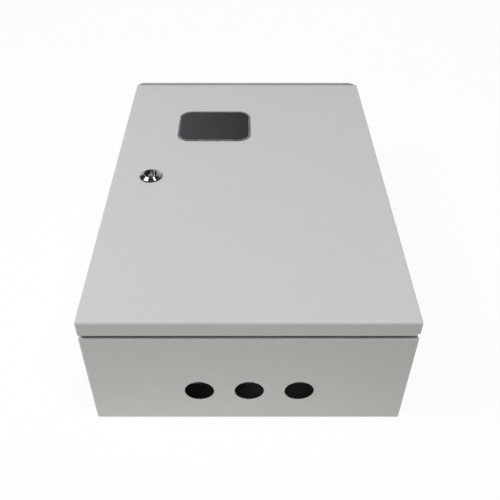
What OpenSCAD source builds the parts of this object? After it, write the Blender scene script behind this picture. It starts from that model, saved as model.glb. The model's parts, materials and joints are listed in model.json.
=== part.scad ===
// Wall-mounted outdoor cabinet of folded sheet steel, lying on its back with the door up.
// Origin at the middle of the back wall's outer face: +X to the hinge side, +Y to the cabinet's
// top wall, +Z out through the door. Millimetres.

/* [Cabinet] */
// Width across the side walls
cabinet_w = 400; // [340:1:600]
// Height from the bottom wall to the top wall
cabinet_h = 582; // [500:1:900]
// Depth from the back wall to the face of the door
cabinet_d = 187; // [150:1:320]
// Thickness of the body sheet
body_sheet = 1.5; // [1:0.1:2]
// Inside radius of every sheet bend
bend_inside_r = 2; // [1:0.1:2]
// Radius that rounds the ground corner welds
corner_r = 2.5; // [1:0.1:2.5]

/* [Gutter] */
// Width of the rain gutter between the side wall's face and the lip
gutter_w = 16; // [15:0.5:24]
// Gap between the gutter's floor and the edge of the door's rim
rim_gap = 5.4; // [2:0.1:7]

/* [Door] */
// Thickness of the door sheet
door_sheet = 1.5; // [1:0.1:2]
// Depth of the door's folded rim
rim_h = 22.2; // [20:0.1:26]
// Gap between the door's top edge and the rain strip
door_top_gap = 1; // [0.5:0.1:3]
// Length of the relief at the rim's corners on the hinge side, along the rim
relief_w = 4; // [2:0.5:8]
// Height of the relief at the rim's corners on the hinge side
relief_h = 3; // [1:0.5:6]

/* [Door gasket] */
// Width of the foam gasket
gasket_w = 12; // [8:0.5:12]
// Height of the foam gasket, pressed by the lip
gasket_h = 8; // [5:0.5:9]
// Radius of the gasket's shoulders
gasket_shoulder_r = 3; // [1:0.5:3.5]
// Radius of the gasket's corners, at the inner edge
gasket_corner_r = 4; // [2:0.5:10]

/* [Rain strip] */
// Thickness of the rain strip
strip_sheet = 1.5; // [1:0.1:2]
// Height of the rain strip above the face of the door
strip_proud = 2.2; // [2:0.1:20]
// Height of the strip that lies on the top wall
strip_lap = 24; // [15:1:60]
// Width of the cut at the strip's upper corner on the lock side
strip_lock_cut_w = 10; // [5:0.5:30]
// Width of the cut at the strip's upper corner on the hinge side
strip_hinge_cut_w = 14; // [5:0.5:30]
// Height of the cut at each upper corner of the strip
strip_cut_h = 5; // [3:0.5:12]

/* [Cable entries] */
// Diameter of each cable entry
entry_d = 37.5; // [20:0.1:50]
// Distance between neighbouring cable entries
entry_pitch = 63.4; // [55:0.1:90]
// Height of the entries' centres above the back wall's face
entry_up = 58.6; // [45:0.1:70]
// Distance from the cabinet's middle to the middle of the row of entries, towards the hinge side
entry_shift = 1.3; // [0:0.1:5]
// Number of cable entries
entry_count = 3; // [1:1:4]

/* [Wall fixing] */
// Diameter of each wall fixing hole
fix_hole_d = 9; // [6:0.5:11]
// Distance from the side wall's face to a fixing hole's centre
fix_side = 35; // [30:1:60]
// Distance from the top or bottom wall's face to a fixing hole's centre
fix_end = 26; // [24:1:30]

/* [Mounting plate] */
// Thickness of the mounting plate
plate_t = 2; // [1.5:0.1:3]
// Gap between the side wall's face and the plate's edge
plate_side = 30; // [25:1:60]
// Gap between the top or bottom wall's face and the plate's edge
plate_end = 35; // [33:1:80]
// Distance from the plate's edges to its fixing holes
plate_hole_in = 18; // [15:1:40]
// Radius of the plate's corners
plate_corner_r = 6; // [2:1:12]
// Height of the spacers that hold the plate off the back wall
spacer_h = 25; // [15:1:40]
// Outside diameter of the spacers
spacer_d = 14; // [12:0.5:20]
// Diameter of the plate's studs
plate_stud_d = 8; // [6:1:10]

/* [Hinges] */
// Distance from the cabinet's top or bottom wall to the middle of the nearest hinge
hinge_inset = 92; // [60:1:150]
// Distance from the side wall's face to the hinge axis
hinge_in = 5; // [4.8:0.1:5.5]
// Distance from the face of the door to the hinge axis
hinge_down = 15; // [14.5:0.1:15.5]
// Diameter of the hinge pins
pin_d = 5; // [3:0.1:5]
// Outside diameter of the hinge barrels
barrel_d = 8.4; // [7.5:0.1:8.6]
// Length of the barrel on the door
leaf_barrel_l = 15.6; // [10:0.1:20]
// Length of each barrel on the body
bracket_barrel_l = 10; // [6:0.1:14]
// Length of the opening in the door's rim at each hinge
rim_notch_l = 47; // [46:0.5:70]

/* [Window] */
// Width of the window opening
window_w = 118; // [60:1:150]
// Height of the window opening
window_h = 93.5; // [60:0.5:140]
// Corner radius of the window opening
window_r = 20; // [8:1:25]
// Distance from the lock side's face to the window opening
window_side = 87.3; // [70:0.1:130]
// Distance from the top wall's face to the window opening
window_top = 101; // [60:0.5:150]
// Thickness of the moulded window pane
pane_t = 3; // [2:0.5:4]
// Height of the pane's raised middle above the face of the door
pane_proud = 1; // [0:0.1:3]
// Width of the pane behind the door, all round the opening
pane_overlap = 16; // [14:0.5:25]
// Thickness of the seal between the door and the pane
seal_t = 1; // [1:0.1:3]
// Width of the seal's rim that shows inside the opening
seal_rim_w = 3.5; // [2.5:0.5:5]
// Height of the seal's rim above the face of the door
seal_proud = 1.5; // [0.5:0.1:3]
// Thickness of the frame that clamps the pane
frame_t = 1.5; // [1:0.1:3]

/* [Lock] */
// Distance from the lock side's face to the lock's axis
lock_side = 57; // [52:0.5:60]
// Diameter of the lock's bezel
bezel_d = 32; // [28:0.5:40]
// Height of the lock's bezel
bezel_h = 3.3; // [3:0.1:6]
// Diameter of the opening in the bezel's top
cup_d = 18.8; // [17:0.1:19]
// Width of the flat land round that opening
crown_w = 1.6; // [1:0.1:2]
// Diameter of the lock's threaded barrel
lock_barrel_d = 22; // [20:0.5:24]
// Width across the two flats of the lock's barrel
lock_flats = 20.5; // [20:0.1:21]
// Thickness of the sealing ring under the bezel
lock_seal_t = 2.2; // [1:0.1:3]
// Width of each side of the three-sided key post
post_side = 9; // [7:0.1:11]
// Thickness of the cam
cam_t = 3; // [2:0.5:5]
// Width of the cam
cam_w = 16; // [14:1:20]
// Overlap of the cam's tip under the gutter
cam_catch = 9.5; // [6:0.5:11]

/* [Earth studs] */
// Diameter of the earth studs
earth_d = 6; // [5:1:8]
// Length of the earth studs
earth_l = 16; // [14:1:16]
// Distance from the hinge side's face to the body's earth stud
body_earth_side = 65; // [60:1:90]
// Distance from the bottom wall's face to the body's earth stud
body_earth_end = 18; // [16:1:21]
// Distance from the hinge side's face to the door's earth stud
door_earth_side = 50; // [40:1:80]
// Distance from the bottom wall's face to the door's earth stud
door_earth_end = 50; // [45:1:65]

/* [Hidden] */
$fn = 64;

// Run of every cutting tool past the face that it cuts
overrun = 1;
// Clearance of a pin or shaft that turns in its bore, on the radius
run_clear = 0.05;
// Clearance of a fastener in its hole, on the radius
hole_clear = 0.5;
// Clearance between flat faces that slide past each other
slide_clear = 0.2;
// Gap between the cam and the gutter's floor that it catches
cam_gap = 0.3;
// Gap between the window seal and the pane inside it or the edge of the door's opening
seal_clear = 0.1;
// Share of a nut's width that its end faces keep inside the chamfer
nut_face_share = 0.95;
// Slope of a nut's chamfer, in degrees
nut_chamfer_angle = 30;
// Length of the chamfer at a stud's tip
stud_tip = 0.7;

// Bends
body_bend_r = bend_inside_r + body_sheet;
door_bend_r = bend_inside_r + door_sheet;

// Heights above the back wall's face
door_face_z = cabinet_d;
door_inner_z = door_face_z - door_sheet;
rim_z = door_face_z - rim_h;
gutter_z = rim_z - rim_gap;
gutter_under_z = gutter_z - body_sheet;
lip_z = door_inner_z - gasket_h;
strip_z = door_face_z + strip_proud;

// Distance from a wall's face to the inner side of the lip round the mouth
lip_in = gutter_w + body_sheet;

// The door is shorter than the body by the gap under the rain strip
door_h = cabinet_h - door_top_gap;
door_y = -door_top_gap / 2;

// Hinges
hinge_x = cabinet_w / 2 - hinge_in;
hinge_z = door_face_z - hinge_down;
hinge_y = cabinet_h / 2 - hinge_inset;
barrel_r = barrel_d / 2;
pin_r = pin_d / 2;
bracket_t = 2.5;
bracket_h = 11;
ear_h = 6;
ear_from = leaf_barrel_l / 2 + slide_clear;
ear_to = ear_from + bracket_barrel_l;
leaf_t = 3;
leaf_base_t = 2.5;
leaf_base_l = 40;
leaf_base_in = 5;
leaf_base_out = 1.5;
pin_head_h = 2;
clip_t = 1;
clip_gap_share = 0.6;
clip_proud = 1.8;
clip_r = pin_r + clip_proud;
groove_depth = 0.5;
groove_r = pin_r - groove_depth;
pin_tail = 2;
rim_notch_up = 6;

// Window
window_x = -cabinet_w / 2 + window_side + window_w / 2;
window_y = cabinet_h / 2 - window_top - window_h / 2;
pane_w = window_w + 2 * pane_overlap;
pane_h = window_h + 2 * pane_overlap;
pane_r = 6;
seal_round_r = 1.1;
seal_z = door_inner_z - seal_t;
pane_z = seal_z - pane_t;
frame_z = pane_z - frame_t;
frame_margin = 2;
window_stud_r = 2;
window_stud_in = 7.5;
window_nut_h = 3.2;
window_nut_af = 7;
window_washer_t = 0.8;
window_washer_r = 4.5;
window_stud_tail = 1.5;
window_stud_shares = [[-1, -1], [0, -1], [1, -1], [-1, 1], [0, 1], [1, 1]];

// Lock
lock_x = -cabinet_w / 2 + lock_side;
lock_y = door_y;
bezel_r = bezel_d / 2;
bezel_edge = 0.3;
crown_round_r = 0.4;
cup_r = cup_d / 2;
cup_floor = 2;
bezel_z = door_face_z + lock_seal_t;
bezel_top_z = bezel_z + bezel_h;
crown_inner_mid = [cup_r + crown_round_r, bezel_top_z - crown_round_r];
crown_outer_mid = crown_inner_mid + [crown_w - 2 * crown_round_r, 0];
cup_floor_z = door_face_z - cup_floor;
lock_barrel_r = lock_barrel_d / 2;
cam_z = gutter_under_z - cam_gap - cam_t;
cam_top_z = cam_z + cam_t;
driver_proud = 1.8;
lock_barrel_z = cam_top_z + driver_proud;
driver_r = 6;
driver_disc_clear = 0.3;
driver_disc_r = cup_r - driver_disc_clear;
driver_disc_t = 1.5;
post_point_r = post_side / sqrt(3);
post_point_share = 0.92;
post_sunk = 2.6;
post_z = bezel_top_z - post_sunk;
square_w = 8;
square_clear = 0.1;
cam_hub_r = 11;
cam_reach = lock_side - gutter_w - body_sheet + cam_catch;
cam_screw_r = 3;
cam_screw_l = 14;
cam_screw_head_h = 4;
cam_screw_af = 10;
cam_washer_t = 1.6;
cam_washer_r = 9;
lock_nut_h = 5;
lock_nut_af = 27;
lock_hole_clear = 0.3;
lock_seal_lap = 0.2;

// Mounting plate
plate_w = cabinet_w - 2 * plate_side;
plate_h = cabinet_h - 2 * plate_end;
plate_z = body_sheet + spacer_h;
plate_x = plate_w / 2 - plate_hole_in;
plate_y = plate_h / 2 - plate_hole_in;
plate_stud_r = plate_stud_d / 2;
plate_nut_h = 6.5;
plate_nut_af = 13;
plate_washer_t = 1.6;
plate_washer_r = 8;
plate_stud_tail = 2.5;

// Earth studs
earth_r = earth_d / 2;
body_earth_x = cabinet_w / 2 - body_earth_side;
body_earth_y = -cabinet_h / 2 + body_earth_end;
door_earth_x = cabinet_w / 2 - door_earth_side;
door_earth_y = -cabinet_h / 2 + door_earth_end;
earth_shoulder = 2;
earth_boss_r = earth_r + earth_shoulder;
earth_boss_h = 3;
earth_nut_h = 5;
earth_nut_af = 10;
earth_washer_t = 1.6;
earth_washer_r = 6;

paint = [0.79, 0.80, 0.78];
zinc = [0.72, 0.74, 0.76];
steel = [0.66, 0.67, 0.69];
chrome = [0.86, 0.87, 0.89];
brass = [0.80, 0.66, 0.36];
rubber = [0.10, 0.10, 0.11];
foam = [0.16, 0.16, 0.17];
seal_grey = [0.42, 0.43, 0.46];
smoked = [0.07, 0.07, 0.08];

// Point where a line from outside touches a circle on its upper side
function tangent_point(from, mid, r) =
    let (reach = from - mid)
    let (turn = atan2(reach[1], reach[0]) + acos(r / norm(reach)))
    mid + r * [cos(turn), sin(turn)];

// Flat shapes

// Rectangle centred on the origin with true round corners
module round_rect(w, h, r) {
    square([w - 2 * r, h], center = true);
    square([w, h - 2 * r], center = true);
    for (x = [-1, 1], y = [-1, 1])
        translate([x * (w / 2 - r), y * (h / 2 - r)])
            circle(r);
}

// Rectangle of width w from low to high, with its upper corners rounded, and its lower ones too if asked
module rounded_band(w, low, high, r, both) {
    floor_z = both ? low + r : low;
    translate([-w / 2, floor_z])
        square([w, high - r - floor_z]);
    translate([-w / 2 + r, low])
        square([w - 2 * r, high - low]);
    for (x = [-1, 1], z = both ? [low + r, high - r] : [high - r])
        translate([x * (w / 2 - r), z])
            circle(r);
}

// The corner that a round of radius r leaves between two faces, at the origin towards +X and +Y
module corner_fillet(r) {
    difference() {
        square(r);
        translate([r, r])
            circle(r);
    }
}

// Solids that are one outline along X and the same kind of outline along Y, mitred at their corners

module along_y(length) {
    rotate([90, 0, 0])
        linear_extrude(length, center = true)
            children();
}

module along_x(length) {
    rotate([90, 0, 90])
        linear_extrude(length, center = true)
            children();
}

// Folded pan with its open side down: outline w by h, from low to high
module pan(w, h, low, high, r) {
    intersection() {
        along_y(h) rounded_band(w, low, high, r, false);
        along_x(w) rounded_band(h, low, high, r, false);
    }
}

// Outside of the body across a span: walls, gutter floor and lip
module body_outline(span) {
    lip_span = span - 2 * gutter_w;
    rounded_band(span, 0, gutter_z, body_bend_r, true);
    translate([-lip_span / 2, gutter_under_z])
        square([lip_span, lip_z - gutter_under_z]);
    for (side = [-1, 1])
        scale([side, 1])
            translate([lip_span / 2, gutter_z])
                corner_fillet(bend_inside_r);
}

// Inside of the body across a span: the room between the walls and the mouth between the lips
module body_hollow(span) {
    mouth = span - 2 * lip_in;
    rounded_band(span - 2 * body_sheet, body_sheet, gutter_under_z, bend_inside_r, true);
    translate([-mouth / 2, body_sheet + bend_inside_r])
        square([mouth, lip_z + overrun - body_sheet - bend_inside_r]);
    for (side = [-1, 1])
        scale([side, 1])
            translate([mouth / 2, gutter_under_z])
                corner_fillet(body_bend_r);
}

// Vertical solid of the outline w by h with ground corners
module corner_posts(w, h, low, high) {
    translate([0, 0, low])
        linear_extrude(high - low)
            round_rect(w, h, corner_r);
}

// Fasteners

module ring(outer_r, inner_r, h) {
    difference() {
        cylinder(h, r = outer_r);
        translate([0, 0, -overrun])
            cylinder(h + 2 * overrun, r = inner_r);
    }
}

// Stud with a chamfered tip
module stud(r, length) {
    cylinder(length - stud_tip, r = r);
    translate([0, 0, length - stud_tip])
        cylinder(stud_tip, r1 = r, r2 = r - stud_tip);
}

// Hexagon with a cone's chamfer at both ends
module hex_blank(across_flats, h) {
    edge_r = across_flats / 2 / cos(30);
    face_r = across_flats / 2 * nut_face_share;
    outer_r = edge_r + overrun;
    rise = (outer_r - face_r) * tan(nut_chamfer_angle);
    intersection() {
        cylinder(h, r = edge_r, $fn = 6);
        rotate_extrude()
            polygon([[0, 0], [face_r, 0], [outer_r, rise], [outer_r, h - rise], [face_r, h], [0, h]]);
    }
}

module hex_nut(across_flats, bore_r, h) {
    difference() {
        hex_blank(across_flats, h);
        translate([0, 0, -overrun])
            cylinder(h + 2 * overrun, r = bore_r);
    }
}

// Body

module body_shell() {
    color(paint)
        difference() {
            intersection() {
                along_y(cabinet_h) body_outline(cabinet_w);
                along_x(cabinet_w) body_outline(cabinet_h);
                corner_posts(cabinet_w, cabinet_h, -overrun, lip_z + overrun);
            }
            intersection() {
                along_y(cabinet_h) body_hollow(cabinet_w);
                along_x(cabinet_w) body_hollow(cabinet_h);
            }
            cable_entries();
            for (x = [-1, 1], y = [-1, 1])
                translate([x * (cabinet_w / 2 - fix_side), y * (cabinet_h / 2 - fix_end), -overrun])
                    cylinder(body_sheet + 2 * overrun, d = fix_hole_d);
        }
}

module cable_entries() {
    first_x = entry_shift - (entry_count - 1) / 2 * entry_pitch;
    for (i = [0 : entry_count - 1])
        translate([first_x + i * entry_pitch, -cabinet_h / 2 - overrun, entry_up])
            rotate([-90, 0, 0])
                cylinder(body_sheet + 2 * overrun, d = entry_d);
}

// Flat strip welded to the top wall, which keeps rain off the door's upper edge
module drip_strip() {
    foot_z = gutter_z - body_bend_r - strip_lap;
    edge = cabinet_w / 2;
    color(paint)
        translate([0, cabinet_h / 2 + strip_sheet / 2, 0])
            along_y(strip_sheet)
                polygon([
                    [-edge, foot_z],
                    [edge, foot_z],
                    [edge, strip_z - strip_cut_h],
                    [edge - strip_hinge_cut_w, strip_z],
                    [-edge + strip_lock_cut_w, strip_z],
                    [-edge, strip_z - strip_cut_h]
                ]);
}

// Mounting plate and its fixings

module at_plate_studs(z) {
    for (x = [-1, 1], y = [-1, 1])
        translate([x * plate_x, y * plate_y, z])
            children();
}

module mounting_plate() {
    color(zinc)
        difference() {
            translate([0, 0, plate_z])
                linear_extrude(plate_t)
                    round_rect(plate_w, plate_h, plate_corner_r);
            at_plate_studs(plate_z - overrun)
                cylinder(plate_t + 2 * overrun, r = plate_stud_r + hole_clear);
        }
}

module plate_studs() {
    top_z = plate_z + plate_t + plate_washer_t + plate_nut_h + plate_stud_tail;
    color(zinc)
        at_plate_studs(body_sheet)
            stud(plate_stud_r, top_z - body_sheet);
}

module plate_spacers() {
    color(zinc)
        at_plate_studs(body_sheet)
            ring(spacer_d / 2, plate_stud_r + hole_clear, spacer_h);
}

module plate_washers() {
    color(zinc)
        at_plate_studs(plate_z + plate_t)
            ring(plate_washer_r, plate_stud_r + hole_clear, plate_washer_t);
}

module plate_nuts() {
    color(zinc)
        at_plate_studs(plate_z + plate_t + plate_washer_t)
            hex_nut(plate_nut_af, plate_stud_r + run_clear, plate_nut_h);
}

// Earth studs: one on the back wall below the mounting plate, one inside the door

module at_body_earth(along) {
    translate([body_earth_x, body_earth_y, body_sheet + along])
        children();
}

module at_door_earth(along) {
    translate([door_earth_x, door_earth_y, door_inner_z - along])
        rotate([180, 0, 0])
            children();
}

module earth_stud() {
    stud(earth_r, earth_l);
    cylinder(earth_boss_h, r = earth_boss_r);
}

module earth_washer() {
    ring(earth_washer_r, earth_r + hole_clear, earth_washer_t);
}

module earth_nut() {
    hex_nut(earth_nut_af, earth_r + run_clear, earth_nut_h);
}

module body_earth_stud() { color(brass) at_body_earth(0) earth_stud(); }
module body_earth_washer() { color(brass) at_body_earth(earth_boss_h) earth_washer(); }
module body_earth_nut() { color(brass) at_body_earth(earth_boss_h + earth_washer_t) earth_nut(); }
module door_earth_stud() { color(brass) at_door_earth(0) earth_stud(); }
module door_earth_washer() { color(brass) at_door_earth(earth_boss_h) earth_washer(); }
module door_earth_nut() { color(brass) at_door_earth(earth_boss_h + earth_washer_t) earth_nut(); }

// Hinges, each drawn about its own axis with its middle at y

module at_hinge(y) {
    translate([hinge_x, y, hinge_z])
        children();
}

// Bracket welded to the outer face of the lip, with two barrels
module hinge_bracket(y) {
    plate_from = hinge_in - gutter_w;
    color(paint)
        at_hinge(y)
            difference() {
                union() {
                    translate([plate_from, -ear_to, -bracket_h / 2])
                        cube([bracket_t, 2 * ear_to, bracket_h]);
                    for (side = [-1, 1])
                        translate([0, side * (ear_from + ear_to) / 2, 0])
                            along_y(ear_to - ear_from) {
                                circle(barrel_r);
                                translate([plate_from + bracket_t / 2, -ear_h / 2])
                                    square([-plate_from - bracket_t / 2, ear_h]);
                            }
                }
                along_y(2 * (ear_to + overrun)) circle(pin_r + run_clear);
            }
}

// Leaf welded inside the door, with one barrel between the bracket's two
module hinge_leaf(y) {
    top = door_inner_z - hinge_z;
    color(paint)
        at_hinge(y)
            difference() {
                union() {
                    along_y(leaf_barrel_l) {
                        circle(barrel_r);
                        translate([-leaf_t / 2, 0])
                            square([leaf_t, top]);
                    }
                    translate([-leaf_base_in, -leaf_base_l / 2, top - leaf_base_t])
                        cube([leaf_base_in + leaf_base_out, leaf_base_l, leaf_base_t]);
                }
                along_y(leaf_barrel_l + 2 * overrun) circle(pin_r + run_clear);
            }
}

// Headed pin with a groove for its clip
module hinge_pin(y) {
    groove_l = clip_t + slide_clear;
    tail_y = -ear_to - groove_l - pin_tail;
    head_y = ear_to + slide_clear;
    color(zinc)
        at_hinge(y)
            rotate([-90, 0, 0]) {
                translate([0, 0, -ear_to])
                    cylinder(ear_to + head_y, r = pin_r);
                translate([0, 0, -ear_to - groove_l])
                    cylinder(groove_l, r = groove_r);
                translate([0, 0, tail_y])
                    cylinder(pin_tail, r = pin_r);
                translate([0, 0, head_y])
                    cylinder(pin_head_h, r = barrel_r);
            }
}

module upper_hinge_bracket() { hinge_bracket(hinge_y); }
module lower_hinge_bracket() { hinge_bracket(-hinge_y); }
module upper_hinge_pin() { hinge_pin(hinge_y); }
module lower_hinge_pin() { hinge_pin(-hinge_y); }
module upper_hinge_leaf() { hinge_leaf(hinge_y); }
module lower_hinge_leaf() { hinge_leaf(-hinge_y); }

module hinge_clips() {
    color(steel)
        for (side = [-1, 1])
            at_hinge(side * hinge_y)
                translate([0, -ear_to - slide_clear / 2, 0])
                    rotate([90, 0, 0])
                        difference() {
                            ring(clip_r, groove_r + run_clear, clip_t);
                            translate([0, -groove_r * clip_gap_share, -overrun])
                                cube([clip_r + overrun, 2 * groove_r * clip_gap_share, clip_t + 2 * overrun]);
                        }
}

// Door

module door_panel() {
    color(paint)
        difference() {
            translate([0, door_y, 0])
                difference() {
                    intersection() {
                        pan(cabinet_w, door_h, rim_z, door_face_z, door_bend_r);
                        corner_posts(cabinet_w, door_h, rim_z - overrun, door_face_z + overrun);
                    }
                    pan(
                        cabinet_w - 2 * door_sheet, door_h - 2 * door_sheet,
                        rim_z - overrun, door_inner_z, bend_inside_r
                    );
                    rim_reliefs();
                }
            for (side = [-1, 1])
                translate([hinge_x, side * hinge_y - rim_notch_l / 2, rim_z - overrun])
                    cube([hinge_in + overrun, rim_notch_l, hinge_z + rim_notch_up - rim_z + overrun]);
            translate([window_x, window_y, door_inner_z - overrun])
                linear_extrude(door_sheet + 2 * overrun)
                    round_rect(window_w, window_h, window_r);
            translate([lock_x, lock_y, door_inner_z - overrun])
                linear_extrude(door_sheet + 2 * overrun)
                    flatted_circle(lock_barrel_r + lock_hole_clear, lock_flats + 2 * lock_hole_clear);
        }
}

// Sloping cuts at the rim's corners on the hinge side
module rim_reliefs() {
    for (y = [-1, 1])
        translate([cabinet_w / 2, y * door_h / 2, rim_z])
            scale([-1, -y, 1]) {
                translate([0, relief_w / 2, 0])
                    along_y(relief_w + 2 * overrun) relief_outline();
                translate([relief_w / 2, 0, 0])
                    along_x(relief_w + 2 * overrun) relief_outline();
            }
}

module relief_outline() {
    polygon([[-overrun, -overrun], [relief_w, -overrun], [relief_w, 0], [0, relief_h], [-overrun, relief_h]]);
}

module flatted_circle(r, flats) {
    intersection() {
        circle(r);
        square([2 * r + overrun, flats], center = true);
    }
}

// An outline swept round a rectangle with round corners, from the inner edge outwards
module swept_frame(inner_w, inner_h, inner_r) {
    run_w = inner_w - 2 * inner_r;
    run_h = inner_h - 2 * inner_r;
    for (side = [-1, 1]) {
        scale([side, 1, 1])
            translate([inner_w / 2, 0, 0])
                along_y(run_h) children();
        scale([1, side, 1])
            translate([0, inner_h / 2, 0])
                along_x(run_w) children();
    }
    for (x = [-1, 1], y = [-1, 1])
        scale([x, y, 1])
            translate([run_w / 2, run_h / 2, 0])
                rotate_extrude(angle = 90)
                    translate([inner_r, 0])
                        children();
}

// Foamed bead round the door's inside, over the lip, with round shoulders
module door_gasket() {
    inner_in = gutter_w + body_sheet / 2 + gasket_w / 2;
    color(foam)
        translate([0, 0, lip_z])
            swept_frame(cabinet_w - 2 * inner_in, cabinet_h - 2 * inner_in, gasket_corner_r)
                bead_outline();
}

// Section of the bead, flat where the lip presses it
module bead_outline() {
    r = gasket_shoulder_r;
    translate([0, r])
        square([gasket_w, gasket_h - r]);
    translate([r, 0])
        square([gasket_w - 2 * r, r + overrun]);
    for (x = [r, gasket_w - r])
        translate([x, r])
            circle(r);
}

// Window

module at_window(z) {
    translate([window_x, window_y, z])
        children();
}

module at_window_studs(z) {
    for (s = window_stud_shares)
        at_window(z)
            translate([s[0] * (pane_w / 2 - window_stud_in), s[1] * (pane_h / 2 - window_stud_in), 0])
                children();
}

module stud_holes(low, high) {
    at_window_studs(low - overrun)
        cylinder(high - low + 2 * overrun, r = window_stud_r + hole_clear);
}

// Moulded seal: a flange behind the door and a rim that stands proud in the opening
module window_seal() {
    inner_w = window_w - 2 * seal_rim_w;
    inner_h = window_h - 2 * seal_rim_w;
    inner_r = window_r - seal_rim_w;
    color(seal_grey) {
        difference() {
            at_window(seal_z)
                linear_extrude(seal_t)
                    round_rect(pane_w, pane_h, pane_r);
            at_window(seal_z - overrun)
                linear_extrude(seal_t + 2 * overrun)
                    round_rect(inner_w + seal_rim_w, inner_h + seal_rim_w, inner_r + seal_rim_w / 2);
            stud_holes(seal_z, door_inner_z);
        }
        at_window(seal_z)
            swept_frame(inner_w, inner_h, inner_r)
                seal_rim_outline();
    }
}

// Section of the seal's rim, round on top
module seal_rim_outline() {
    w = seal_rim_w - seal_clear;
    top = seal_t + door_sheet + seal_proud;
    r = seal_round_r;
    square([w, top - r]);
    translate([r, 0])
        square([w - 2 * r, top]);
    for (x = [r, w - r])
        translate([x, top - r])
            circle(r);
}

// Moulded pane: a flange behind the seal and a raised middle, hollow behind
module window_pane() {
    inset = seal_rim_w + seal_clear;
    top_z = door_face_z + pane_proud;
    color(smoked)
        difference() {
            union() {
                at_window(pane_z)
                    linear_extrude(pane_t)
                        round_rect(pane_w, pane_h, pane_r);
                at_window(pane_z)
                    linear_extrude(top_z - pane_z)
                        round_rect(window_w - 2 * inset, window_h - 2 * inset, window_r - inset);
            }
            at_window(pane_z - overrun)
                linear_extrude(top_z - pane_t - pane_z + overrun)
                    round_rect(
                        window_w - 2 * (inset + pane_t), window_h - 2 * (inset + pane_t),
                        window_r - inset - pane_t
                    );
            stud_holes(pane_z, seal_z);
        }
}

module window_frame() {
    color(zinc)
        difference() {
            at_window(frame_z)
                linear_extrude(frame_t)
                    round_rect(pane_w, pane_h, pane_r);
            at_window(frame_z - overrun)
                linear_extrude(frame_t + 2 * overrun)
                    round_rect(
                        window_w + 2 * frame_margin, window_h + 2 * frame_margin,
                        window_r + frame_margin
                    );
            stud_holes(frame_z, pane_z);
        }
}

module window_studs() {
    end_z = frame_z - window_washer_t - window_nut_h - window_stud_tail;
    color(zinc)
        at_window_studs(door_inner_z)
            rotate([180, 0, 0])
                stud(window_stud_r, door_inner_z - end_z);
}

module window_washers() {
    color(zinc)
        at_window_studs(frame_z - window_washer_t)
            ring(window_washer_r, window_stud_r + hole_clear, window_washer_t);
}

module window_nuts() {
    color(zinc)
        at_window_studs(frame_z - window_washer_t - window_nut_h)
            hex_nut(window_nut_af, window_stud_r + run_clear, window_nut_h);
}

// Lock

module at_lock(z) {
    translate([lock_x, lock_y, z])
        children();
}

// Turned housing: bezel outside, cup for the key, threaded barrel with two flats inside
module lock_housing() {
    bore_r = driver_r + run_clear;
    edge = [bezel_r, bezel_z + bezel_edge];
    color(chrome)
        at_lock(0)
            difference() {
                rotate_extrude() {
                    polygon([
                        [bore_r, lock_barrel_z],
                        [lock_barrel_r, lock_barrel_z],
                        [lock_barrel_r, bezel_z],
                        [bezel_r, bezel_z],
                        edge,
                        tangent_point(edge, crown_outer_mid, crown_round_r),
                        [crown_outer_mid[0], bezel_top_z],
                        [crown_inner_mid[0], bezel_top_z],
                        [cup_r, crown_inner_mid[1]],
                        [cup_r, cup_floor_z],
                        [bore_r, cup_floor_z]
                    ]);
                    for (mid = [crown_inner_mid, crown_outer_mid])
                        translate(mid)
                            circle(crown_round_r);
                }
                for (side = [-1, 1])
                    translate([0, side * (lock_flats / 2 + bezel_r / 2), lock_barrel_z - overrun])
                        translate([-bezel_r, -bezel_r / 2, 0])
                            cube([2 * bezel_r, bezel_r, bezel_z - lock_barrel_z + overrun]);
            }
}

module lock_seal() {
    color(rubber)
        at_lock(door_face_z)
            ring(bezel_r + lock_seal_lap, lock_barrel_r + lock_hole_clear, lock_seal_t);
}

module lock_nut() {
    color(zinc)
        at_lock(door_inner_z - lock_nut_h)
            hex_nut(lock_nut_af, lock_barrel_r + run_clear, lock_nut_h);
}

// Turning insert: disc and three-sided post for the key, shaft, and a square that carries the cam
module lock_driver() {
    disc_z = cup_floor_z + slide_clear;
    square_z = cam_z + slide_clear;
    color(chrome)
        at_lock(0)
            difference() {
                union() {
                    translate([0, 0, disc_z])
                        cylinder(driver_disc_t, r = driver_disc_r);
                    translate([0, 0, cam_top_z])
                        cylinder(disc_z - cam_top_z, r = driver_r);
                    translate([0, 0, disc_z])
                        linear_extrude(post_z - disc_z)
                            key_post_outline();
                    translate([-square_w / 2, -square_w / 2, square_z])
                        cube([square_w, square_w, cam_top_z - square_z]);
                }
                translate([0, 0, cam_z - overrun])
                    cylinder(cam_screw_l + overrun, r = cam_screw_r + run_clear);
            }
}

// Triangle with blunted points, one of them towards the cabinet's top
module key_post_outline() {
    intersection() {
        rotate(90)
            circle(post_point_r, $fn = 3);
        circle(post_point_r * post_point_share);
    }
}

// Cam, turned aside so that the door is free to open
module lock_cam() {
    tip_r = cam_w / 2;
    color(zinc)
        at_lock(cam_z)
            linear_extrude(cam_t)
                difference() {
                    union() {
                        circle(cam_hub_r);
                        translate([-tip_r, 0])
                            square([cam_w, cam_reach - tip_r]);
                        translate([0, cam_reach - tip_r])
                            circle(tip_r);
                    }
                    square(square_w + 2 * square_clear, center = true);
                }
}

module cam_washer() {
    color(zinc)
        at_lock(cam_z - cam_washer_t)
            ring(cam_washer_r, cam_screw_r + hole_clear, cam_washer_t);
}

module cam_screw() {
    head_z = cam_z - cam_washer_t - cam_screw_head_h;
    color(zinc)
        at_lock(head_z) {
            hex_blank(cam_screw_af, cam_screw_head_h);
            cylinder(cam_screw_head_h + cam_washer_t + cam_screw_l - overrun, r = cam_screw_r);
        }
}

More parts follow.
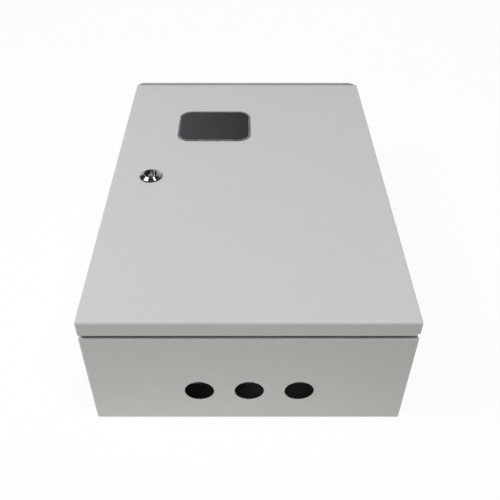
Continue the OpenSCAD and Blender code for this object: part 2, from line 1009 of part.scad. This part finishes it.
body_shell();
drip_strip();
mounting_plate();
plate_studs();
plate_spacers();
plate_washers();
plate_nuts();
body_earth_stud();
body_earth_washer();
body_earth_nut();
upper_hinge_bracket();
lower_hinge_bracket();
upper_hinge_pin();
lower_hinge_pin();
hinge_clips();
door_panel();
door_gasket();
upper_hinge_leaf();
lower_hinge_leaf();
door_earth_stud();
door_earth_washer();
door_earth_nut();
window_seal();
window_pane();
window_frame();
window_studs();
window_washers();
window_nuts();
lock_housing();
lock_seal();
lock_nut();
lock_driver();
lock_cam();
cam_washer();
cam_screw();
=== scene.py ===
"""Finishes, fine detail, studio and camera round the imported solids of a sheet-steel cabinet."""

import json
import math

import bmesh
import bpy
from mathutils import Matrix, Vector


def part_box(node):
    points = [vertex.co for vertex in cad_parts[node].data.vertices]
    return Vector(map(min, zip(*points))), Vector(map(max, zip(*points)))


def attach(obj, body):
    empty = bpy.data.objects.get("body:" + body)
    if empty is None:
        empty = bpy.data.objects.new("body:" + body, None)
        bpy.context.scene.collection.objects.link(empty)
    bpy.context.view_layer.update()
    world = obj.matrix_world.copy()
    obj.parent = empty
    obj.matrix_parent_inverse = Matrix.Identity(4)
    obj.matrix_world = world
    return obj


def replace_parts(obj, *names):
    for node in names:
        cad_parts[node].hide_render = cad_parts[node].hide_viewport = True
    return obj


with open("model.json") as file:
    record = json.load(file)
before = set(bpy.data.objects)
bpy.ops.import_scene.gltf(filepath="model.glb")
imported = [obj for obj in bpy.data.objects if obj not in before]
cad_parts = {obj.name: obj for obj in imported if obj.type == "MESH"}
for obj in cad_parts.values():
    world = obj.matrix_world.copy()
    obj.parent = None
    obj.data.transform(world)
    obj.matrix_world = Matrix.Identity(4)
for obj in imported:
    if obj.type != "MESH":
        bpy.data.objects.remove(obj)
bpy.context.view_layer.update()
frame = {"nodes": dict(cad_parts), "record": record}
nodes = frame["nodes"]

MM = 0.001
# Edges that bend more than this stay sharp
CREASE_DEG = 40.0

# Camera, from a pinhole fit of the photograph. Its level lines stay level, and its frame is cut a
# little to one side, which the shift gives.
LENS_MM = 46.067
SENSOR_MM = 36.0
SHIFT_X = 0.01258
CAMERA_AT = (-0.00577, -0.78241, 0.73125)
PITCH_DOWN_DEG = 41.4106
CLIP = (0.01, 100.0)

# Lengths below are in millimetres, up to the studio's.

# Gasket: a bead along a rectangle with round corners
GASKET_WIDTH = 12.0
GASKET_BEND = 10.0
GASKET_BEND_STEPS = 12
GASKET_STEP = 6.0
GASKET_SIDES = 22
GASKET_CROWN_POWER = 0.80
GASKET_SIDE_POWER = 0.55
# What the bead stays short of its solid, and what its waves add, to each side and in depth
GASKET_SHORT = (0.35, 0.30)
GASKET_WAVE = (0.12, 0.10)
# Each wave of the pour: its share, its length for one radian, and its start
GASKET_WAVES = ((1.0, 23.0, 0.0), (0.6, 9.7, 1.3), (0.4, 61.0, 0.5))
# The swelling where the pour meets its start, and the mark that the body's lip leaves
GASKET_JOINT_AT = 1180.0
GASKET_JOINT_LENGTH = 9.0
GASKET_JOINT_SWELL = 0.10
GASKET_MARK_DEPTH = 0.7
GASKET_MARK_WIDTH = 1.3

# Threads: radius, pitch, depth, and what stays bare by the nut and at the end
PLATE_THREAD = (4.0, 1.25, 0.18, 0.3, 0.8)
EARTH_THREAD = (3.0, 1.0, 0.16, 0.3, 0.9)
LOCK_THREAD = (11.0, 1.5, 0.28, 0.5, 0.8)
LOCK_FLATS = 20.5
FLAT_MARGIN = 0.1
THREAD_STEPS = 48
THREAD_FADE_STEPS = 10.0
THREAD_LEAST = 0.02
THREAD_SUNK = 0.05
# Half widths of the ridge's foot and crest, as shares of the pitch
THREAD_FOOT_SHARE = 0.42
THREAD_CREST_SHARE = 0.09

# Weld beads at the hinges
WELD_R = 1.5
WELD_STEP = 0.22
WELD_LEAST_STEPS = 8
WELD_SIDES = 10
WELD_RIPPLE = 1.3
WELD_RIPPLE_SHARE = 0.14
WELD_END = 1.5
WELD_END_SHARE = 0.35
WELD_SUNK = 0.2
WELD_INSET = 0.8
WELD_UNDER_TOP = 1.6
WELD_REACH = 6.2

# Spot-weld marks in a row on the back of the rain strip
SPOT_COUNT = 7
SPOT_IN = 28.0
SPOT_UP = 12.0
SPOT_R = 2.6
SPOT_HALF_WIDTH = 0.7
SPOT_RELIEF = 0.25
SPOT_STEPS = 32
SPOT_SIDES = 8

# Studio, in metres. The floor is white to the eye and fades to the pale wall far off. For the light it
# throws on the object, its colour is a painted pool of light, and a painted glow lies at the cabinet's
# foot.
FLOOR_SIZE = 60.0
FLOOR_SEEN = (0.92, 0.92, 0.92)
FLOOR_GLOW = 0.91
FLOOR_MIDDLE = (0.0, 0.0, 0.0)
FLOOR_FADE_R = (2.2, 7.0)
FLOOR_FAR_SEEN = 0.835
# Painted pool of light: the floor's colour for bounced light, pale round the pool and darker far off
FLOOR_POOL = (-0.15, -0.55, 0.0)
FLOOR_POOL_R = (0.35, 1.50)
FLOOR_NEAR = (0.75, 0.763, 0.720)
FLOOR_FAR = (0.42, 0.43, 0.41)
FOOT_LIGHT = (-0.10, -0.33, 0.0)
FOOT_LIGHT_R = (0.05, 0.50)
FOOT_GLOW = 0.35
# The wall reaches from the horizon to where the dim ceiling starts
WALL_SEEN = 0.78
WALL_GLOW = 0.08
WALL_TOP_DEG = (10.0, 24.0)
CEILING_GLOW = 0.048
PANEL_COLOUR = (0.92, 0.94, 1.0)
# Soft panels: the way to each, the angles where it starts and ends to fade, and its glow
PANELS = (
    ((-0.27, 0.78, 0.56), (7.0, 19.0), 0.46),
    ((0.50, 0.74, 0.45), (10.0, 26.0), 0.45),
    ((-0.14, -0.81, 0.56), (6.0, 20.0), 0.50),
    ((-0.71, -0.43, 0.56), (3.5, 6.0), 2.0),
    ((-0.49, -0.01, 0.87), (11.0, 14.0), 3.0),
    ((0.33, -0.01, 0.94), (4.5, 7.0), 5.5),
)
LAMP_AIM = (0.0, 0.0, 0.1)
# Lamps: name, place, width and height, watts, spread in degrees, and whether gloss mirrors it
LAMPS = (
    ("key", (-1.8, -0.48, 2.2), (0.85, 0.85), 36.3, 180.0, True),
    ("fill", (0.8, -0.85, 2.9), (0.30, 1.6), 34.4, 180.0, True),
    ("back", (0.3, 2.2, 0.25), (1.2, 0.4), 1.9, 60.0, False),
    ("side", (2.2, 0.4, 0.25), (1.2, 0.4), 1.1, 60.0, False),
)
# Rays that show the floor and the wall as the backdrop, rather than as light on the object
SEEN_RAYS = ("Is Camera Ray", "Is Glossy Ray", "Is Transmission Ray")


def make_camera():
    """The photograph's viewpoint, level and square to the cabinet."""
    data = bpy.data.cameras.new("camera")
    data.lens = LENS_MM
    data.sensor_width = SENSOR_MM
    data.shift_x = SHIFT_X
    data.clip_start, data.clip_end = CLIP
    camera = bpy.data.objects.new("camera", data)
    bpy.context.scene.collection.objects.link(camera)
    camera.location = CAMERA_AT
    camera.rotation_euler = (math.radians(90.0 - PITCH_DOWN_DEG), 0.0, 0.0)
    bpy.context.scene.camera = camera


class Shader:
    """A material's node tree, with short calls to add and join its nodes."""

    def __init__(self, name):
        self.material = bpy.data.materials.new(name)
        self.material.use_nodes = True
        self.tree = self.material.node_tree
        self.tree.nodes.clear()
        self.output = self.tree.nodes.new("ShaderNodeOutputMaterial")
        self.place = None

    def add(self, kind, **settings):
        node = self.tree.nodes.new("ShaderNode" + kind)
        for key, value in settings.items():
            setattr(node, key, value)
        return node

    def join(self, source, socket):
        self.tree.links.new(source, socket)

    def coordinates(self):
        """The object's own coordinates, in metres."""
        if self.place is None:
            self.place = self.add("TexCoord").outputs["Object"]
        return self.place

    def noise(self, size, detail=2.0):
        """Noise whose features are about size metres across."""
        node = self.add("TexNoise")
        node.inputs["Scale"].default_value = 1.0 / size
        node.inputs["Detail"].default_value = detail
        self.join(self.coordinates(), node.inputs["Vector"])
        return node.outputs["Fac"]

    def cells(self, size, output="Distance"):
        """Voronoi cells about size metres across."""
        node = self.add("TexVoronoi")
        node.inputs["Scale"].default_value = 1.0 / size
        self.join(self.coordinates(), node.inputs["Vector"])
        return node.outputs[output]

    def spread(self, value, low, high, start=0.0, end=1.0):
        """A value between start and end brought to the range from low to high."""
        node = self.add("MapRange")
        node.inputs["From Min"].default_value = start
        node.inputs["From Max"].default_value = end
        node.inputs["To Min"].default_value = low
        node.inputs["To Max"].default_value = high
        self.join(value, node.inputs["Value"])
        return node.outputs["Result"]

    def between(self, value, first, second):
        """A colour between two others."""
        node = self.add("Mix", data_type="RGBA")
        colours = [s for s in node.inputs if s.type == "RGBA"]
        colours[0].default_value = (*first, 1.0)
        colours[1].default_value = (*second, 1.0)
        self.join(value, node.inputs["Factor"])
        return next(s for s in node.outputs if s.type == "RGBA")

    def bump(self, height, depth, under=None):
        """A normal from a 0 to 1 height that stands for depth metres."""
        node = self.add("Bump")
        node.inputs["Strength"].default_value = 1.0
        node.inputs["Distance"].default_value = depth
        self.join(height, node.inputs["Height"])
        if under is not None:
            self.join(under, node.inputs["Normal"])
        return node.outputs["Normal"]

    def principled(self, **sockets):
        """The surface. A number or colour is set on its socket and a node's output is joined to it."""
        node = self.add("BsdfPrincipled")
        for key, value in sockets.items():
            socket = node.inputs[key.replace("_", " ")]
            if isinstance(value, bpy.types.NodeSocket):
                self.join(value, socket)
            else:
                socket.default_value = value
        self.join(node.outputs["BSDF"], self.output.inputs["Surface"])
        return self.material


def shade(colour, factor):
    """A colour made darker or lighter."""
    return tuple(c * factor for c in colour)


PAINT = (0.585, 0.590, 0.563)


def painted_sheet():
    """Light grey powder coat: slow drift of shade, orange peel and a soft gloss."""
    s = Shader("painted_sheet")
    drift = s.noise(size=0.12, detail=3.0)
    peel = s.noise(size=0.0016, detail=1.0)
    grain = s.noise(size=0.0004, detail=1.0)
    normal = s.bump(grain, depth=0.00001, under=s.bump(peel, depth=0.00002))
    return s.principled(
        Base_Color=s.between(drift, shade(PAINT, 0.985), shade(PAINT, 1.015)),
        Roughness=s.spread(peel, 0.40, 0.52),
        Normal=normal,
    )


def galvanised_sheet():
    """Galvanised steel with a soft spangle."""
    s = Shader("galvanised_sheet")
    flakes = s.cells(size=0.007, output="Color")
    fine = s.noise(size=0.0012, detail=3.0)
    return s.principled(
        Base_Color=s.between(flakes, (0.52, 0.535, 0.55), (0.60, 0.615, 0.63)),
        Metallic=1.0,
        Roughness=s.spread(flakes, 0.42, 0.52),
        Normal=s.bump(fine, depth=0.00001),
    )


def zinc_fastener():
    """Bright zinc plating with a faint blue cast."""
    s = Shader("zinc_fastener")
    cloud = s.noise(size=0.003, detail=3.0)
    return s.principled(
        Base_Color=s.between(cloud, (0.56, 0.59, 0.62), (0.68, 0.70, 0.72)),
        Metallic=1.0,
        Roughness=s.spread(cloud, 0.22, 0.36),
        Normal=s.bump(s.noise(size=0.0005), depth=0.000008),
    )


def brass_fastener():
    """Brass with a slight bloom."""
    s = Shader("brass_fastener")
    cloud = s.noise(size=0.002, detail=3.0)
    return s.principled(
        Base_Color=s.between(cloud, (0.62, 0.44, 0.19), (0.75, 0.57, 0.28)),
        Metallic=1.0,
        Roughness=s.spread(cloud, 0.24, 0.40),
        Normal=s.bump(s.noise(size=0.0005), depth=0.000008),
    )


def gasket_foam():
    """Dark foamed bead with a pored skin."""
    s = Shader("gasket_foam")
    pores = s.cells(size=0.0009)
    lumps = s.noise(size=0.006, detail=2.0)
    return s.principled(
        Base_Color=s.between(lumps, (0.030, 0.030, 0.033), (0.052, 0.052, 0.056)),
        Roughness=s.spread(pores, 0.70, 0.92),
        Normal=s.bump(pores, depth=0.00012, under=s.bump(lumps, depth=0.0004)),
    )


def window_rubber():
    """Blue-grey soft seal, a little uneven where it was pressed in, with lighter flecks in its colour
    that are painted glints.
    """
    s = Shader("window_rubber")
    # The smear's lighter flecks are painted glints; the same smear also roughens and bumps the seal
    smear_and_painted_glints = s.spread(s.noise(size=0.0045, detail=3.0), 0.0, 1.0, 0.36, 0.64)
    return s.principled(
        Base_Color=s.between(smear_and_painted_glints, (0.075, 0.078, 0.096), (0.220, 0.223, 0.245)),
        Roughness=s.spread(smear_and_painted_glints, 0.40, 0.65),
        Normal=s.bump(smear_and_painted_glints, depth=0.0003),
    )


def smoked_pane():
    """Dark glazing with a clean gloss."""
    s = Shader("smoked_pane")
    haze = s.noise(size=0.03, detail=2.0)
    return s.principled(
        Base_Color=s.between(haze, (0.028, 0.028, 0.030), (0.033, 0.033, 0.035)),
        Roughness=s.spread(haze, 0.05, 0.09),
        IOR=1.49,
    )


def lock_chrome():
    """Bright chrome plating over a turned casting."""
    s = Shader("lock_chrome")
    haze = s.noise(size=0.0015, detail=3.0)
    return s.principled(
        Base_Color=s.between(haze, (0.47, 0.478, 0.49), (0.54, 0.548, 0.56)),
        Metallic=1.0,
        Roughness=s.spread(haze, 0.04, 0.08),
        Normal=s.bump(s.noise(size=0.0009), depth=0.000003),
    )


def lock_rubber():
    """Black rubber ring."""
    s = Shader("lock_rubber")
    cloud = s.noise(size=0.002, detail=3.0)
    return s.principled(
        Base_Color=s.between(cloud, (0.009, 0.009, 0.010), (0.016, 0.016, 0.017)),
        Roughness=s.spread(cloud, 0.55, 0.75),
        Normal=s.bump(s.noise(size=0.0006), depth=0.00003),
    )


FINISHES = (
    painted_sheet, galvanised_sheet, zinc_fastener, brass_fastener, gasket_foam,
    window_rubber, smoked_pane, lock_chrome, lock_rubber,
)
finish = {make.__name__: make() for make in FINISHES}


def dress_solids():
    """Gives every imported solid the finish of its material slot."""
    for part in frame["record"]["subparts"]:
        solid = nodes[part["node"]]
        solid.data.materials.clear()
        solid.data.materials.append(finish[part["material_slot"]])


class Solids:
    """Closed solids in millimetres that become one piece."""

    def __init__(self):
        self.verts = []
        self.faces = []

    def tube(self, rings, closed=False):
        """Rings of equal count joined to a tube, capped at its ends or closed on itself."""
        first = len(self.verts)
        count = len(rings[0])
        for ring in rings:
            self.verts.extend(ring)
        for i in range(len(rings) if closed else len(rings) - 1):
            a = first + i * count
            b = first + (i + 1) % len(rings) * count
            for j in range(count):
                k = (j + 1) % count
                self.faces.append((a + j, a + k, b + k, b + j))
        if not closed:
            last = first + (len(rings) - 1) * count
            self.faces.append(tuple(range(first, first + count)))
            self.faces.append(tuple(range(last, last + count)))

    def piece(self, name, body, slot):
        """The mesh object, which rides on a body and takes a slot's finish."""
        mesh = bpy.data.meshes.new(name)
        mesh.from_pydata([Vector(v) * MM for v in self.verts], [], self.faces)
        work = bmesh.new()
        work.from_mesh(mesh)
        bmesh.ops.recalc_face_normals(work, faces=work.faces)
        for face in work.faces:
            face.smooth = True
        for edge in work.edges:
            edge.smooth = edge.calc_face_angle(0.0) < math.radians(CREASE_DEG)
        work.to_mesh(mesh)
        work.free()
        mesh.materials.append(finish[slot])
        made = bpy.data.objects.new(name, mesh)
        bpy.context.scene.collection.objects.link(made)
        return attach(made, body)


def box_mm(node):
    """A node's lowest and highest corners, in millimetres."""
    low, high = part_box(node)
    return low / MM, high / MM


def round_path(half_w, half_h, r, step, corner_steps):
    """Points of a rectangle with round corners, with the way out and the distance along at each."""
    points = []
    corners = ((1, 1, 0), (-1, 1, 90), (-1, -1, 180), (1, -1, 270))
    for x, y, start in corners:
        mid = Vector((x * (half_w - r), y * (half_h - r), 0.0))
        for i in range(corner_steps + 1):
            turn = math.radians(start + 90.0 * i / corner_steps)
            out = Vector((math.cos(turn), math.sin(turn), 0.0))
            points.append((mid + out * r, out))
        far = 2 * (half_w - r) if start in (0, 180) else 2 * (half_h - r)
        along = Vector((-out.y, out.x, 0.0))
        runs = round(far / step)
        for i in range(1, runs):
            points.append((mid + out * r + along * far * i / runs, out))
    travelled = 0.0
    path = []
    for i, (at, out) in enumerate(points):
        if i:
            travelled += (at - points[i - 1][0]).length
        path.append((at, out, travelled))
    return path


def make_gasket():
    """Poured foam bead under the door: crowned, marked by the lip, and thicker where the pour ends."""
    low, high = box_mm("door_gasket")
    half = GASKET_WIDTH / 2
    tall = high.z - low.z
    rings = []
    path = round_path(high.x - half, high.y - half, GASKET_BEND, GASKET_STEP, GASKET_BEND_STEPS)
    for at, out, s in path:
        wave = sum(share * math.sin(s / length + start) for share, length, start in GASKET_WAVES)
        joint = math.exp(-(((s - GASKET_JOINT_AT) / GASKET_JOINT_LENGTH) ** 2))
        wide = half - GASKET_SHORT[0] + GASKET_WAVE[0] * wave + GASKET_JOINT_SWELL * joint
        deep = tall - GASKET_SHORT[1] + GASKET_WAVE[1] * wave + GASKET_JOINT_SWELL * joint
        ring = []
        for i in range(GASKET_SIDES + 1):
            turn = math.pi * i / GASKET_SIDES
            across = math.cos(turn)
            across = math.copysign(abs(across) ** GASKET_CROWN_POWER, across) * wide
            down = math.sin(turn) ** GASKET_SIDE_POWER * deep
            mark = GASKET_MARK_DEPTH * math.exp(-((across / GASKET_MARK_WIDTH) ** 2))
            ring.append(at + out * across + Vector((0.0, 0.0, high.z - max(down - mark, 0.0))))
        rings.append(ring)
    bead = Solids()
    bead.tube(rings, closed=True)
    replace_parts(bead.piece("gasket_bead", "door", "gasket_foam"), "door_gasket")


def thread(solids, axis, size, nut_z, end_z, flats=None):
    """A helical ridge round an upright axis from a nut to an end; two flats, if given, part it."""
    radius, pitch, depth, by_nut, by_end = size
    if end_z > nut_z:
        low, high = nut_z + by_nut, end_z - by_end
    else:
        low, high = end_z + by_end, nut_z - by_nut
    steps = (high - low) / pitch * THREAD_STEPS
    up = Vector((0.0, 0.0, pitch))
    rings = []
    for i in range(int(steps) + 1):
        turn = 2 * math.pi * i / THREAD_STEPS
        out = Vector((math.cos(turn), math.sin(turn), 0.0))
        if flats and abs(out.y) * radius > flats / 2 - FLAT_MARGIN:
            if len(rings) > 2:
                solids.tube(rings)
            rings = []
            continue
        fade = min(1.0, i / THREAD_FADE_STEPS, (steps - i) / THREAD_FADE_STEPS)
        at = Vector((axis[0], axis[1], low + pitch * i / THREAD_STEPS))
        foot = at + out * (radius - THREAD_SUNK)
        crest = foot + out * (THREAD_SUNK + depth * max(fade, THREAD_LEAST))
        rings.append([
            foot - up * THREAD_FOOT_SHARE,
            crest - up * THREAD_CREST_SHARE,
            crest + up * THREAD_CREST_SHARE,
            foot + up * THREAD_FOOT_SHARE,
        ])
    if len(rings) > 2:
        solids.tube(rings)


def make_threads():
    """Threads on the ends of the studs that show, and on the lock's barrel."""
    studs = Solids()
    low, high = box_mm("plate_studs")
    nut_top = box_mm("plate_nuts")[1].z
    r = PLATE_THREAD[0]
    for x in (low.x + r, high.x - r):
        for y in (low.y + r, high.y - r):
            thread(studs, (x, y), PLATE_THREAD, nut_top, high.z)
    studs.piece("plate_stud_threads", "body", "zinc_fastener")

    body_earth = Solids()
    low, high = box_mm("body_earth_stud")
    thread(body_earth, (low + high) / 2, EARTH_THREAD, box_mm("body_earth_nut")[1].z, high.z)
    body_earth.piece("body_earth_thread", "body", "brass_fastener")

    door_earth = Solids()
    low, high = box_mm("door_earth_stud")
    thread(door_earth, (low + high) / 2, EARTH_THREAD, box_mm("door_earth_nut")[0].z, low.z)
    door_earth.piece("door_earth_thread", "door", "brass_fastener")

    barrel = Solids()
    low, high = box_mm("lock_nut")
    end_z = box_mm("lock_housing")[0].z
    thread(barrel, (low + high) / 2, LOCK_THREAD, low.z, end_z, LOCK_FLATS)
    barrel.piece("lock_thread", "door", "lock_chrome")


def weld(solids, start, end):
    """A rippled weld bead from start to end."""
    start, end = Vector(start), Vector(end)
    along = end - start
    length = along.length
    along.normalize()
    side = along.orthogonal().normalized()
    other = along.cross(side)
    steps = max(int(length / WELD_STEP), WELD_LEAST_STEPS)
    rings = []
    for i in range(steps + 1):
        s = length * i / steps
        ripple = abs(math.sin(math.pi * s / WELD_RIPPLE))
        fade = min(1.0, WELD_END_SHARE + min(s, length - s) / WELD_END)
        wide = WELD_R * fade * (1.0 - WELD_RIPPLE_SHARE + WELD_RIPPLE_SHARE * ripple)
        at = start + along * s
        ring = []
        for k in range(WELD_SIDES):
            turn = 2 * math.pi * k / WELD_SIDES
            ring.append(at + (side * math.cos(turn) + other * math.sin(turn)) * wide)
        rings.append(ring)
    solids.tube(rings)


def make_welds():
    """Weld beads that hold the hinges to the lip and to the door."""
    on_body = Solids()
    on_door = Solids()
    for end in ("upper", "lower"):
        low, high = box_mm(end + "_hinge_bracket")
        x = low.x + WELD_SUNK
        for y in (low.y, high.y):
            weld(on_body, (x, y, low.z + WELD_INSET), (x, y, high.z - WELD_UNDER_TOP))
        low, high = box_mm(end + "_hinge_leaf")
        z = high.z - WELD_SUNK
        for y in (low.y, high.y):
            weld(on_door, (low.x + WELD_INSET, y, z), (low.x + WELD_REACH, y, z))
    on_body.piece("hinge_welds_body", "body", "painted_sheet")
    on_door.piece("hinge_welds_door", "door", "painted_sheet")


def make_spot_welds():
    """Rings that the spot welder's tips leave on the back of the rain strip."""
    low, high = box_mm("drip_strip")
    marks = Solids()
    span = high.x - low.x - 2 * SPOT_IN
    for i in range(SPOT_COUNT):
        mid = Vector((low.x + SPOT_IN + span * i / (SPOT_COUNT - 1), high.y, low.z + SPOT_UP))
        rings = []
        for k in range(SPOT_STEPS):
            turn = 2 * math.pi * k / SPOT_STEPS
            out = Vector((math.cos(turn), 0.0, math.sin(turn)))
            at = mid + out * SPOT_R
            ring = []
            for m in range(SPOT_SIDES):
                tilt = 2 * math.pi * m / SPOT_SIDES
                proud = Vector((0.0, SPOT_RELIEF * math.sin(tilt), 0.0))
                ring.append(at + out * SPOT_HALF_WIDTH * math.cos(tilt) + proud)
            rings.append(ring)
        marks.tube(rings, closed=True)
    marks.piece("spot_weld_marks", "body", "painted_sheet")


def any_of(tree, path, *rays):
    """1 for the rays named, 0 for the others."""
    seen = path.outputs[rays[0]]
    for ray in rays[1:]:
        either = tree.nodes.new("ShaderNodeMath")
        either.operation = "MAXIMUM"
        tree.links.new(seen, either.inputs[0])
        tree.links.new(path.outputs[ray], either.inputs[1])
        seen = either.outputs["Value"]
    return seen


def make_floor():
    """Pale floor that is white to the eye, keeps a soft shadow and lights the walls from below."""
    s = Shader("floor")

    def away_from(place, radii):
        """0 inside the first radius round a place and 1 outside the second."""
        away = s.add("VectorMath", operation="DISTANCE")
        away.inputs[1].default_value = place
        s.join(s.coordinates(), away.inputs[0])
        fall = s.add("MapRange", interpolation_type="SMOOTHSTEP")
        fall.inputs["From Min"].default_value, fall.inputs["From Max"].default_value = radii
        s.join(away.outputs["Value"], fall.inputs["Value"])
        return fall.outputs["Result"]

    plain = s.add("BsdfDiffuse")
    # Painted pool of light: the colour the floor bounces is pale round the pool and darker further off
    painted_pool_colour = s.between(away_from(FLOOR_POOL, FLOOR_POOL_R), FLOOR_NEAR, FLOOR_FAR)
    s.join(painted_pool_colour, plain.inputs["Color"])
    # Painted glow of light round the cabinet's foot, seen in bounced light only
    foot = s.add("Emission")
    by_foot = s.spread(away_from(FOOT_LIGHT, FOOT_LIGHT_R), FOOT_GLOW, 0.0)
    s.join(by_foot, foot.inputs["Strength"])
    lit = s.add("AddShader")
    s.join(plain.outputs["BSDF"], lit.inputs[0])
    s.join(foot.outputs["Emission"], lit.inputs[1])
    pale = s.add("BsdfDiffuse")
    pale.inputs["Color"].default_value = (*FLOOR_SEEN, 1.0)
    glow = s.add("Emission")
    far_off = s.spread(away_from(FLOOR_MIDDLE, FLOOR_FADE_R), 1.0, FLOOR_FAR_SEEN)
    s.join(far_off, glow.inputs["Strength"])
    white = s.add("MixShader")
    white.inputs["Fac"].default_value = FLOOR_GLOW
    s.join(pale.outputs["BSDF"], white.inputs[1])
    s.join(glow.outputs["Emission"], white.inputs[2])
    choice = s.add("MixShader")
    s.join(any_of(s.tree, s.add("LightPath"), *SEEN_RAYS), choice.inputs["Fac"])
    s.join(lit.outputs["Shader"], choice.inputs[1])
    s.join(white.outputs["Shader"], choice.inputs[2])
    s.join(choice.outputs["Shader"], s.output.inputs["Surface"])
    half = FLOOR_SIZE / 2
    mesh = bpy.data.meshes.new("floor")
    corners = [(-half, -half, 0), (half, -half, 0), (half, half, 0), (-half, half, 0)]
    mesh.from_pydata(corners, [], [(0, 1, 2, 3)])
    mesh.materials.append(s.material)
    floor = bpy.data.objects.new("floor", mesh)
    bpy.context.scene.collection.objects.link(floor)


def make_sky():
    """Studio round the floor: a wall that is pale where it is seen, a dim ceiling and soft panels."""
    world = bpy.data.worlds.new("studio")
    bpy.context.scene.world = world
    world.use_nodes = True
    tree = world.node_tree
    tree.nodes.clear()

    def ease(value, low, high, first, second):
        """Goes smoothly from first to second, numbers or outputs, as value goes from low to high."""
        node = tree.nodes.new("ShaderNodeMapRange")
        node.interpolation_type = "SMOOTHSTEP"
        node.inputs["From Min"].default_value = low
        node.inputs["From Max"].default_value = high
        tree.links.new(value, node.inputs["Value"])
        for socket, end in (("To Min", first), ("To Max", second)):
            if isinstance(end, float):
                node.inputs[socket].default_value = end
            else:
                tree.links.new(end, node.inputs[socket])
        return node.outputs["Result"]

    place = tree.nodes.new("ShaderNodeTexCoord").outputs["Generated"]
    split = tree.nodes.new("ShaderNodeSeparateXYZ")
    tree.links.new(place, split.inputs["Vector"])
    path = tree.nodes.new("ShaderNodeLightPath")
    wall = ease(any_of(tree, path, *SEEN_RAYS), 0.0, 1.0, WALL_GLOW, WALL_SEEN)
    rise = [math.sin(math.radians(a)) for a in WALL_TOP_DEG]
    room = tree.nodes.new("ShaderNodeBackground")
    strength = ease(split.outputs["Z"], *rise, wall, CEILING_GLOW)
    tree.links.new(strength, room.inputs["Strength"])
    room.inputs["Color"].default_value = (1.0, 1.0, 1.0, 1.0)
    light = room.outputs["Background"]

    for way, fade_deg, glow in PANELS:
        near = tree.nodes.new("ShaderNodeVectorMath")
        near.operation = "DOT_PRODUCT"
        tree.links.new(place, near.inputs[0])
        near.inputs[1].default_value = Vector(way).normalized()
        inner, outer = (math.cos(math.radians(a)) for a in fade_deg)
        panel = tree.nodes.new("ShaderNodeBackground")
        strength = ease(near.outputs["Value"], outer, inner, 0.0, glow)
        tree.links.new(strength, panel.inputs["Strength"])
        panel.inputs["Color"].default_value = (*PANEL_COLOUR, 1.0)
        both = tree.nodes.new("ShaderNodeAddShader")
        tree.links.new(light, both.inputs[0])
        tree.links.new(panel.outputs["Background"], both.inputs[1])
        light = both.outputs["Shader"]

    out = tree.nodes.new("ShaderNodeOutputWorld")
    tree.links.new(light, out.inputs["Surface"])


def softbox(name, at, size, watts, spread_deg, shines):
    """A lamp that is never seen itself, and is mirrored only where it shines."""
    data = bpy.data.lights.new(name, "AREA")
    data.shape = "RECTANGLE"
    data.size, data.size_y = size
    data.energy = watts
    data.spread = math.radians(spread_deg)
    lamp = bpy.data.objects.new(name, data)
    bpy.context.scene.collection.objects.link(lamp)
    lamp.visible_camera = False
    lamp.visible_glossy = shines
    lamp.location = at
    lamp.rotation_euler = (Vector(LAMP_AIM) - Vector(at)).to_track_quat("-Z", "Y").to_euler()


make_camera()
dress_solids()
make_gasket()
make_threads()
make_welds()
make_spot_welds()
make_floor()
make_sky()
for lamp in LAMPS:
    softbox(*lamp)
bpy.context.scene.view_settings.view_transform = "Standard"
